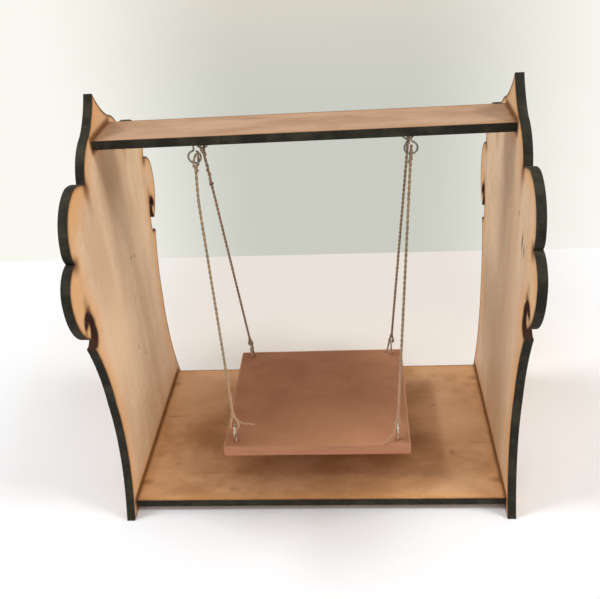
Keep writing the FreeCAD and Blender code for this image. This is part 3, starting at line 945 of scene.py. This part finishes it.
def frayed(line, dice):
    """Loose fibres that spread from a cut end."""
    tip, way = line[-1], (line[-1] - line[-6]).normalized()
    shapes = []
    for _ in range(FRAYED_FIBRES):
        outward = off_to_a_side(way, dice)
        root = tip - way * 0.6 + outward * 0.22
        stand = dice.uniform(0.1, 0.45)
        shapes.append(hair(root, outward * stand, way, dice.uniform(1.2, 2.8), dice))
    return shapes


def knot_shapes(route, thin_end, count, longest, dice):
    """A knot's two plies, its loose fibres and its frayed end."""
    line = smooth_line(route, KNOT_STEP)
    shapes = laid_plies(line, DRAWN_TIGHT, dice, thin_end)
    return shapes + fibres(line, count, 0.8, longest, dice) + frayed(line, dice)


for corner, end_name, _, side in CORNERS:
    body = f"{end_name}_twines"
    twine, line, fluff, route = cords[corner]
    beam_reach, seat_reach = KNOT_REACHES[corner]
    dice = random.Random(corner + "_knots")
    inward = Vector((-side, 0.0, 0.0))
    down = (route[1] - route[0]).normalized()
    up = (route[-2] - route[-1]).normalized()

    beside = (inward - down * inward.dot(down)).normalized()
    middle = route[0] + down * (beam_reach + TAIL_RISE)
    tail = []
    for degrees, out, far in LONG_TAIL if corner == "rear_left" else SHORT_TAIL:
        round_it = Matrix.Rotation(math.radians(degrees), 3, down)
        tail.append(middle + round_it @ beside * out + down * far)
    knot = knot_route(
        route[0], down, Vector((1, 0, 0)), BEAM_LOOPS[corner], beam_reach, beside, tail, True)
    shapes = knot_shapes(knot, SHORT_END, 14, 2.4, dice)
    beam_knot = mesh_piece(f"knot_beam_{corner}", shapes, jute[end_name])
    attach(beam_knot, body)
    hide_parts(f"upper_knot_{corner}")

    turn, ways = SEAT_TAILS[corner]
    turn = math.radians(turn)
    heading = spoke(inward, Vector((0, -1, 0)), turn)
    middle = route[-1] + up * (seat_reach + TAIL_RISE)
    tail = [middle + heading * out + Vector((0, 0, 1)) * rise for out, rise in ways]
    knot = knot_route(
        route[-1], up, Vector((0, 1, 0)), SEAT_LOOPS[corner], seat_reach, heading, tail, False)
    shapes = knot_shapes(knot, SPENT_END[end_name], 30 if corner == "front_left" else 20, 3.0, dice)
    seat_knot = mesh_piece(f"knot_seat_{corner}", shapes, jute[end_name])
    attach(seat_knot, body)
    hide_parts(f"lower_knot_{corner}")

    length = sum((after - before).length for before, after in zip(line, line[1:])) * MM
    [point * MM for point in line]

# Table and wall. A white table top with a pale grey-green wall behind it, both plain but for
# painted shade: the wall is painted darker behind the swing, most of all low down, and the table
# darker behind it. Seen from behind, the wall lets the view through.

WALL_AT, WALL_TURN = 0.305, math.radians(-1.1)
# Inside this half width and depth the table shows real shadows. Further off it fades to white
SHADED_HALF_WIDTH, SHADED_HALF_DEPTH, GLOW_FADE = 203.0, 103.0, 110.0


def plane(name, corners, material):
    shape = [Vector(corner) / MM for corner in corners], [(0, 1, 2, 3)]
    sheet = mesh_piece(name, [shape], material)
    sheet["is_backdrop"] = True
    return sheet


def seen_or_mirrored(finish):
    """1 for what the camera sees, mirrored too, and 0 for light that falls on other pieces."""
    rays = ("Is Camera Ray", "Is Glossy Ray", "Is Transmission Ray")
    camera_ray, glossy, through = [finish.step("ShaderNodeLightPath", ray, {}) for ray in rays]
    return finish.sum("MAXIMUM", finish.sum("MAXIMUM", camera_ray, glossy), through)


def lit_or_glowing(finish, share, lit, glowing):
    """A plain surface in real light, seen by that share as an even glow instead."""
    diffuse = finish.step("ShaderNodeBsdfDiffuse", 0, {"Color": lit})
    glow = finish.step("ShaderNodeEmission", 0, {"Color": glowing, "Strength": 1.0})
    share = finish.sum("MULTIPLY", seen_or_mirrored(finish), share)
    return finish.step("ShaderNodeMixShader", 0, {0: share, 1: diffuse, 2: glow})


def table_finish():
    finish = Finish("table_top")
    across, depth = finish.parts(finish.place())[:2]
    off_across, off_depth = finish.size(across), finish.size(depth)
    sideways = finish.sum("SUBTRACT", off_across, SHADED_HALF_WIDTH)
    off = finish.sum("MAXIMUM", sideways, finish.sum("SUBTRACT", off_depth, SHADED_HALF_DEPTH))
    # Behind the swing the table is painted darker, as shade behind and between the panels, both lit and
    # glowing
    shade_behind = finish.fade(depth, 130.0, -20.0)
    shade_behind = finish.sum("MULTIPLY", shade_behind, finish.fade(off_across, 110.0, 300.0))
    tone = finish.blend(shade_behind, paint(241, 242, 247), paint(224, 217, 212))
    far_tone = finish.blend(shade_behind, paint(255, 255, 255), paint(234, 226, 217))
    share = finish.sum("MULTIPLY", finish.fade(off, GLOW_FADE, 0.0), 0.9)
    finish.step_out(lit_or_glowing(finish, share, tone, far_tone))
    return finish.material


def wall_finish():
    finish = Finish("wall_paint")
    across, _, height = finish.parts(finish.place())
    # Painted shade: the wall is darker behind the swing, most of all low down, and white further to
    # either side
    aside = finish.size(finish.sum("SUBTRACT", across, 5.0))
    middle = finish.blend(finish.fade(height, 330.0, 160.0), paint(203, 205, 195), paint(222, 215, 203))
    tone = finish.blend(finish.fade(aside, 300.0, 70.0), middle, paint(252, 251, 243))
    front = lit_or_glowing(finish, 0.97, paint(206, 204, 196), tone)
    through = finish.step("ShaderNodeBsdfTransparent", 0, {})
    behind = finish.step("ShaderNodeNewGeometry", "Backfacing", {})
    finish.step_out(finish.step("ShaderNodeMixShader", 0, {0: behind, 1: front, 2: through}))
    return finish.material


plane("table", [(-3, -3, 0), (3, -3, 0), (3, 3, 0), (-3, 3, 0)], table_finish())
wall = plane("wall", [(-2, 0, 0), (2, 0, 0), (2, 0, 1.5), (-2, 0, 1.5)], wall_finish())
wall.location = (0, WALL_AT, 0)
wall.rotation_euler = (0, 0, WALL_TURN)

# Light. A bright room: a warmer lamp up on the right, a cooler one up on the left, a broad soft
# one overhead and two fills from the front. Each gives a board that faces it the written share of
# full light, and the room adds some from all round.

LAMP_REACH, LAMP_AIM = 2.0, 0.12


def lamp(name, way, sizes, share, colour):
    """An oblong lamp on that side of the swing and turned to it, with its share of full light."""
    way = Vector(way).normalized()
    data = bpy.data.lights.new(name, "AREA")
    data.shape = "RECTANGLE"
    data.size, data.size_y = sizes
    data.energy = share * (math.pi * LAMP_REACH) ** 2
    data.color = colour
    holder = bpy.data.objects.new(name, data)
    holder.location = way * LAMP_REACH + Vector((0.0, 0.0, LAMP_AIM))
    holder.rotation_mode = "QUATERNION"
    holder.rotation_quaternion = (-way).to_track_quat("-Z", "Y")
    bpy.context.scene.collection.objects.link(holder)


lamp("right_lamp", (0.70, -0.10, 0.65), (0.64, 0.24), 0.47, (1.0, 0.97, 0.92))
lamp("left_lamp", (-0.64, 0.01, 0.77), (0.62, 0.24), 0.46, (0.97, 0.99, 1.0))
lamp("overhead", (0.0, 0.02, 1.0), (1.4, 1.4), 0.12, (1.0, 0.98, 0.96))
lamp("front_right_fill", (0.62, -0.68, 0.40), (1.4, 1.4), 0.13, (1.0, 0.98, 0.95))
lamp("front_left_fill", (-0.62, -0.68, 0.40), (1.4, 1.4), 0.08, (0.98, 0.99, 1.0))

world = bpy.data.worlds.new("room")
bpy.context.scene.world = world
room = Finish("room", world)
room_light = room.step("ShaderNodeBackground", 0, {"Color": paint(226, 226, 220), "Strength": 0.41})
seen = room.step("ShaderNodeBackground", 0, {"Color": paint(232, 231, 224), "Strength": 1.0})
shown = room.step("ShaderNodeMixShader", 0, {0: seen_or_mirrored(room), 1: room_light, 2: seen})
room.step_out(shown, "World")
bpy.context.scene.view_settings.view_transform = "Standard"

# Camera. It stands in front of the swing, a little to its right, and looks down at it, held
# slightly askew.

LENS, SENSOR = 46.81, 36.0
CAMERA_AT = (0.0350, -0.4663, 0.3992)
YAW, PITCH, ROLL = -0.0941, -0.5327, -0.0755

camera_data = bpy.data.cameras.new("camera")
camera_data.lens = LENS
camera_data.sensor_width = SENSOR
camera_data.clip_start = 0.01
camera = bpy.data.objects.new("camera", camera_data)
bpy.context.scene.collection.objects.link(camera)
view = Vector((math.sin(YAW) * math.cos(PITCH), math.cos(YAW) * math.cos(PITCH), math.sin(PITCH)))
level = view.cross(Vector((0, 0, 1))).normalized()
upright = level.cross(view)
right, top = spoke(level, upright, ROLL), spoke(upright, -level, ROLL)
turned = Matrix((right, top, -view)).transposed().to_4x4()
camera.matrix_world = Matrix.Translation(CAMERA_AT) @ turned
bpy.context.scene.camera = camera

boxes = {"cad": cad_box, "visual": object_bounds()}
{name: [list(corner) for corner in box] for name, box in boxes.items()}
